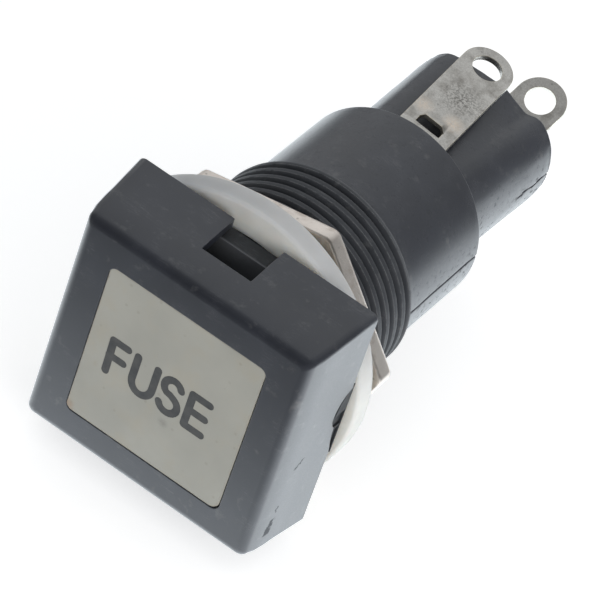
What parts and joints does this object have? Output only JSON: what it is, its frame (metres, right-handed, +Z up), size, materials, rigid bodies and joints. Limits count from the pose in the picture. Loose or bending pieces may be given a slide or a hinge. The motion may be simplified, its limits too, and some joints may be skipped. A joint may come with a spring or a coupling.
{
  "type": "cartridge fuse holder",
  "caption": "Panel-mount fuse holder with a square pull-out cap, threaded barrel, loose washer, hexagonal nut, solder lugs and a glass cartridge fuse inside.",
  "frame": {"origin": "on the barrel's axis, at the rear face of the flange, where the panel meets it", "axes": "+Y along the barrel towards the rear terminal, +Z up through the side terminal, the label faces -Y"},
  "size_m": [0.0207, 0.0457, 0.0206],
  "materials": {
    "body_plastic": "black moulded plastic, satin, lightly scuffed",
    "cap_plastic": "dark grey-black moulded plastic, satin",
    "label_film": "cream label, slightly stained",
    "carrier_plastic": "black moulded plastic",
    "contact_brass": "bare brass",
    "fuse_glass": "clear",
    "fuse_cap_nickel": "nickel plated",
    "solder": "dull solder",
    "fuse_wire_silver": "bright drawn wire",
    "tinned_brass": "tinned, brushed and stained",
    "plug_plastic": "brown laminate",
    "spring_steel": "bright spring steel",
    "washer_plastic": "off-white nylon",
    "nut_nickel": "nickel plated, slightly tarnished"
  },
  "bodies": {
    "body": {"holder_body": "body_plastic", "side_terminal": "tinned_brass", "rear_terminal": "tinned_brass", "rear_plug": "plug_plastic", "rear_rivet": "contact_brass", "spring_seat": "contact_brass", "contact_spring": "spring_steel"},
    "carrier": {"cap_shell": "cap_plastic", "label_plate": "label_film", "fuse_carrier": "carrier_plastic", "fuse_clip": "contact_brass"},
    "fuse": {"fuse_glass_tube": "fuse_glass", "fuse_front_cap": "fuse_cap_nickel", "fuse_rear_cap": "fuse_cap_nickel", "fuse_front_solder": "solder", "fuse_rear_solder": "solder", "fuse_wire": "fuse_wire_silver"},
    "rear_contact": {"rear_contact_cup": "contact_brass"},
    "washer": {"panel_washer": "washer_plastic"},
    "nut": {"panel_nut": "nut_nickel"}
  },
  "joints": [
    {"name": "carrier_pull", "type": "slide", "parent": "body", "child": "carrier", "axis": [0, -1, 0], "range_m": [0, 0.032]},
    {"name": "fuse_spin", "type": "hinge", "parent": "carrier", "child": "fuse", "pos_m": [0, 0.0115, 0], "axis": [0, 1, 0], "continuous": true},
    {"name": "contact_press", "type": "slide", "parent": "body", "child": "rear_contact", "axis": [0, 1, 0], "range_m": [0, 0.0015], "stiffness_N_per_m": 400, "springref_m": -0.0015, "deforming": ["contact_spring"]},
    {"name": "washer_slide", "type": "slide", "parent": "body", "child": "washer", "axis": [0, 1, 0], "range_m": [0, 0.0076]},
    {"name": "nut_turn", "type": "hinge", "parent": "washer", "child": "nut", "pos_m": [0, 0.0033, 0], "axis": [0, 1, 0], "range_deg": [0, 2980]}
  ],
  "couplings": [
    {"joint": "nut_turn", "follows": "washer_slide", "rad_per_m": 6829.6}
  ]
}
